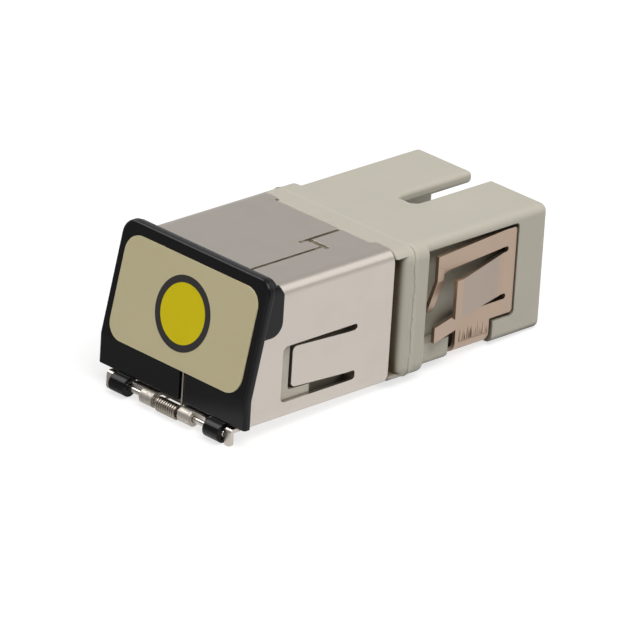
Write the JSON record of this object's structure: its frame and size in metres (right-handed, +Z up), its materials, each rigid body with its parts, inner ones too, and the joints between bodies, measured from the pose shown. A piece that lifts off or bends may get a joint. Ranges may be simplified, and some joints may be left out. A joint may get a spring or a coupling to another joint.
{
  "type": "simplex fibre coupler",
  "caption": "Panel coupler joining push-pull fibre plugs end to end, with a steel shield and a sprung shutter door at the front and a saddle clip that snaps behind the panel.",
  "frame": {"origin": "on the optical axis, in the plane where the two housing halves are welded", "axes": "+Y along the optical axis towards the open rear port, +Z up, +X to the right as seen facing the door"},
  "size_m": [0.0154, 0.0294, 0.0117],
  "materials": {
    "ivory_plastic": "fine satin moulding",
    "insert_plastic": "satin moulding",
    "white_ceramic": "polished ceramic",
    "bright_steel": "bright rolled sheet",
    "spring_steel": "drawn wire",
    "black_plastic": "satin black moulding",
    "beige_label": "matt printed plate",
    "copper_alloy": "rolled copper alloy"
  },
  "bodies": {
    "coupler": {"rear_housing": "ivory_plastic", "front_housing": "ivory_plastic", "rear_latch_insert": "insert_plastic", "front_latch_insert": "insert_plastic", "alignment_sleeve": "white_ceramic", "shield": "bright_steel", "hinge_pin": "bright_steel", "torsion_spring": "spring_steel", "panel_clip": "copper_alloy"},
    "shutter": {"shutter_door": "black_plastic", "door_label": "beige_label"}
  },
  "joints": [
    {"name": "shutter_hinge", "type": "hinge", "parent": "coupler", "child": "shutter", "pos_m": [0, -0.01532, -0.00521], "axis": [1, 0, 0], "range_deg": [0, 110], "stiffness_Nm_per_rad": 0.0008, "springref_deg": -28.65, "deforming": ["torsion_spring"]}
  ]
}
